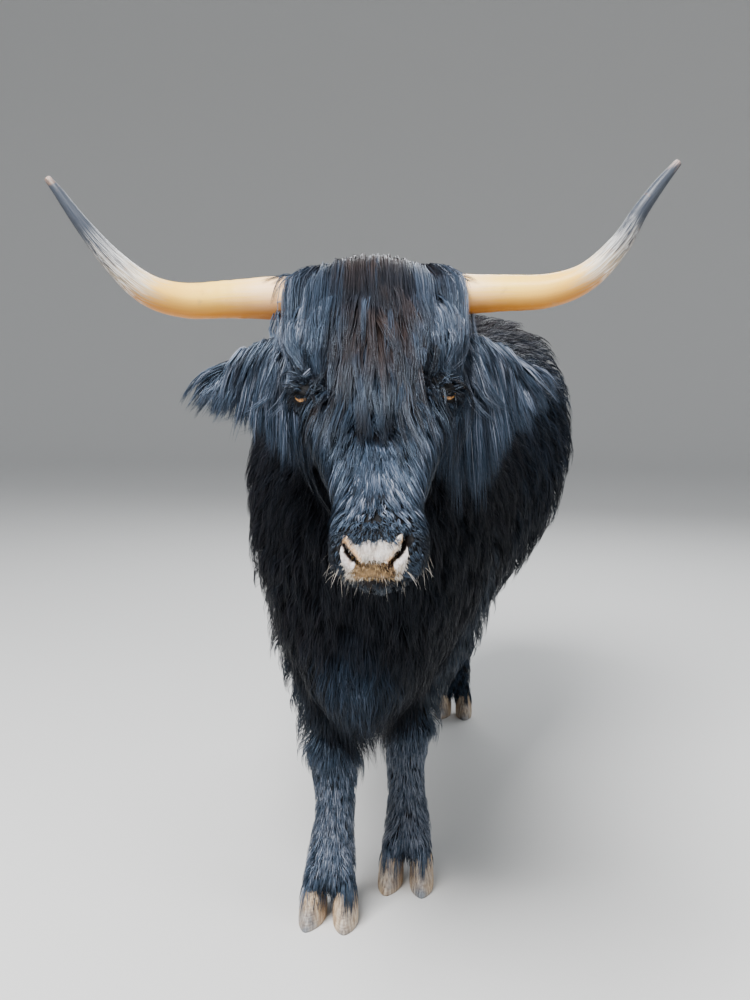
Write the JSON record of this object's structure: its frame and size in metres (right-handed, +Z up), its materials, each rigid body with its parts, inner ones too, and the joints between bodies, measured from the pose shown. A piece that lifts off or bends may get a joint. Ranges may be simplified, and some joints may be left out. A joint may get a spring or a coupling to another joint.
{
  "type": "highland cow",
  "caption": "Life-size standing highland cow with a shaggy black coat, a long forelock and wide upswept horns, as a still museum model.",
  "frame": {"origin": "on the floor, under the middle of the animal's bounding box", "axes": "+Z up, +Y from the head back along the trunk, +X to the animal's left"},
  "size_m": [0.894, 2.2568, 1.3477],
  "materials": {
    "coat": "long wavy black hair with a blue-grey sheen and brown tips",
    "muzzle": "bare damp pinkish grey skin",
    "horn": "smooth horn, cream at the root, slate grey to the tip",
    "hoof": "dull worn hoof horn",
    "eye": "wet dark brown eye",
    "udder_skin": "dark bare skin with fine hair"
  },
  "bodies": {
    "root": {"barrel": "coat", "chest": "coat", "ear_left": "coat", "ear_right": "coat", "eye_left": "eye", "eye_right": "eye", "fore_left_claw_inner": "hoof", "fore_left_claw_outer": "hoof", "fore_left_lower": "coat", "fore_left_upper": "coat", "fore_right_claw_inner": "hoof", "fore_right_claw_outer": "hoof", "fore_right_lower": "coat", "fore_right_upper": "coat", "forelock": "coat", "head": "coat", "hind_left_claw_inner": "hoof", "hind_left_claw_outer": "hoof", "hind_left_lower": "coat", "hind_left_upper": "coat", "hind_right_claw_inner": "hoof", "hind_right_claw_outer": "hoof", "hind_right_lower": "coat", "hind_right_upper": "coat", "horn_left": "horn", "horn_right": "horn", "jaw": "coat", "muzzle": "muzzle", "neck": "coat", "rump": "coat", "tail_dock": "coat", "tail_switch": "coat", "udder": "udder_skin"}
  },
  "joints": []
}
